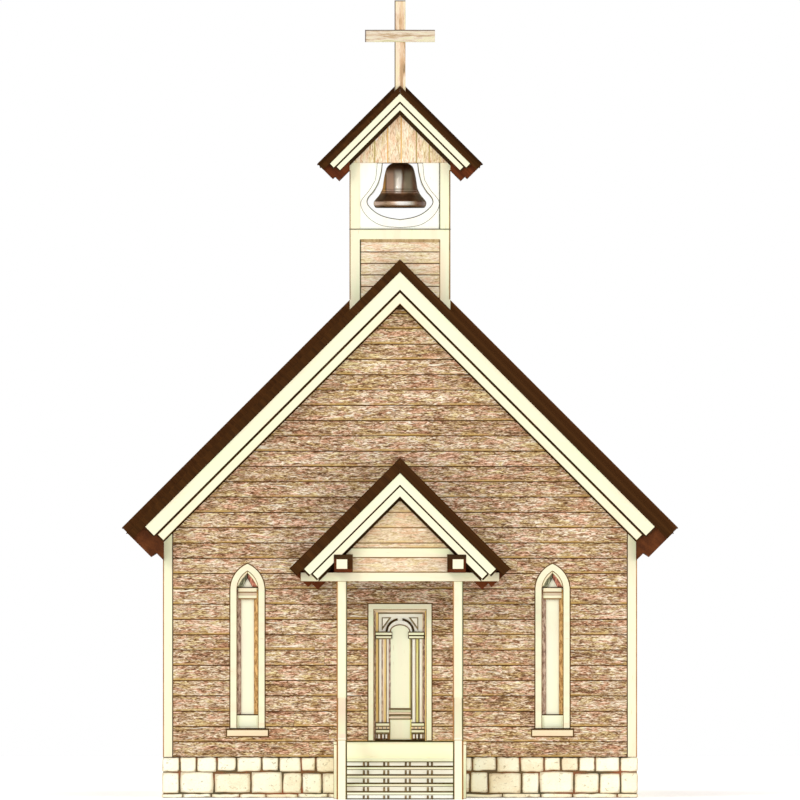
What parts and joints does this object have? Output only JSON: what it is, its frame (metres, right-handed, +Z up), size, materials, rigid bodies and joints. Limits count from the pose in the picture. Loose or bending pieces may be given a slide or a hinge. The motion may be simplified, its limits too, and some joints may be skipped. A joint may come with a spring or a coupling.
{
  "type": "timber church building",
  "caption": "Gabled timber church on a stone footing, with a covered entrance porch and stair, lancet windows, and an open bell tower that carries a bell and a cross.",
  "frame": {"origin": "on the ground, under the middle of the whole building's box", "axes": "+Z up, -Y out of the entrance front, +X to the right for a viewer who faces the entrance"},
  "size_m": [8.9072, 14.21, 12.768],
  "materials": {
    "cream_paint": "cream painted boards, satin",
    "brown_siding": "weathered brown clapboard, matt",
    "pale_siding": "pale tan boards, matt",
    "dark_roofing": "dark brown roof boarding, matt",
    "red_brown_eave": "red-brown painted boards, matt",
    "pale_stone": "pale rubble stone in brown mortar",
    "cream_glass": "cream translucent glass",
    "dark_bronze": "dark cast bronze",
    "forged_iron": "dark forged iron",
    "weathered_oak": "bare weathered oak"
  },
  "bodies": {
    "building": {"stone_foundation": "pale_stone", "nave_floor": "weathered_oak", "cross": "weathered_oak", "front_wall_left": "brown_siding", "front_wall_right": "brown_siding", "front_gable_wall": "brown_siding", "left_wall": "brown_siding", "right_wall": "brown_siding", "back_wall": "brown_siding", "left_corner_trim": "cream_paint", "right_corner_trim": "cream_paint", "front_barge_boards": "cream_paint", "back_barge_boards": "cream_paint", "roof_left_slope": "dark_roofing", "roof_right_slope": "dark_roofing", "left_eave_box": "red_brown_eave", "right_eave_box": "red_brown_eave", "front_window_left": "cream_paint", "front_window_right": "cream_paint", "left_window_1": "cream_paint", "left_window_2": "cream_paint", "left_window_3": "cream_paint", "right_window_1": "cream_paint", "right_window_2": "cream_paint", "right_window_3": "cream_paint", "back_window": "cream_paint", "front_pane_left": "cream_glass", "front_pane_right": "cream_glass", "left_glass_sheet": "cream_glass", "right_glass_sheet": "cream_glass", "back_pane": "cream_glass", "door_casing": "cream_paint", "porch_platform": "cream_paint", "front_stair": "cream_paint", "stair_rail_left": "cream_paint", "stair_rail_right": "cream_paint", "porch_post_left": "cream_paint", "porch_post_right": "cream_paint", "porch_beams": "cream_paint", "porch_barge_boards": "cream_paint", "porch_gable": "pale_siding", "belfry_base_walls": "pale_siding", "belfry_gable_front": "pale_siding", "belfry_gable_back": "pale_siding", "porch_roof_left": "dark_roofing", "porch_roof_right": "dark_roofing", "belfry_roof_left": "dark_roofing", "belfry_roof_right": "dark_roofing", "belfry_frame": "cream_paint", "bell_panel_front": "cream_paint", "bell_panel_back": "cream_paint", "bell_panel_left": "cream_paint", "bell_panel_right": "cream_paint", "belfry_barge_front": "cream_paint", "belfry_barge_back": "cream_paint"},
    "door": {"door_leaf": "cream_paint"},
    "bell": {"bell_headstock": "weathered_oak", "bell": "dark_bronze"},
    "clapper": {"clapper": "forged_iron"}
  },
  "joints": [
    {"name": "front_door_hinge", "type": "hinge", "parent": "building", "child": "door", "pos_m": [-0.416, -4.133, 1.95], "axis": [0, 0, 1], "range_deg": [0, 95]},
    {"name": "bell_swing", "type": "hinge", "parent": "building", "child": "bell", "pos_m": [0, -3.489, 10.27], "axis": [1, 0, 0], "range_deg": [-22, 22]},
    {"name": "clapper_swing", "type": "hinge", "parent": "bell", "child": "clapper", "pos_m": [0, -3.489, 10.06], "axis": [1, 0, 0], "range_deg": [-25, 25]}
  ]
}
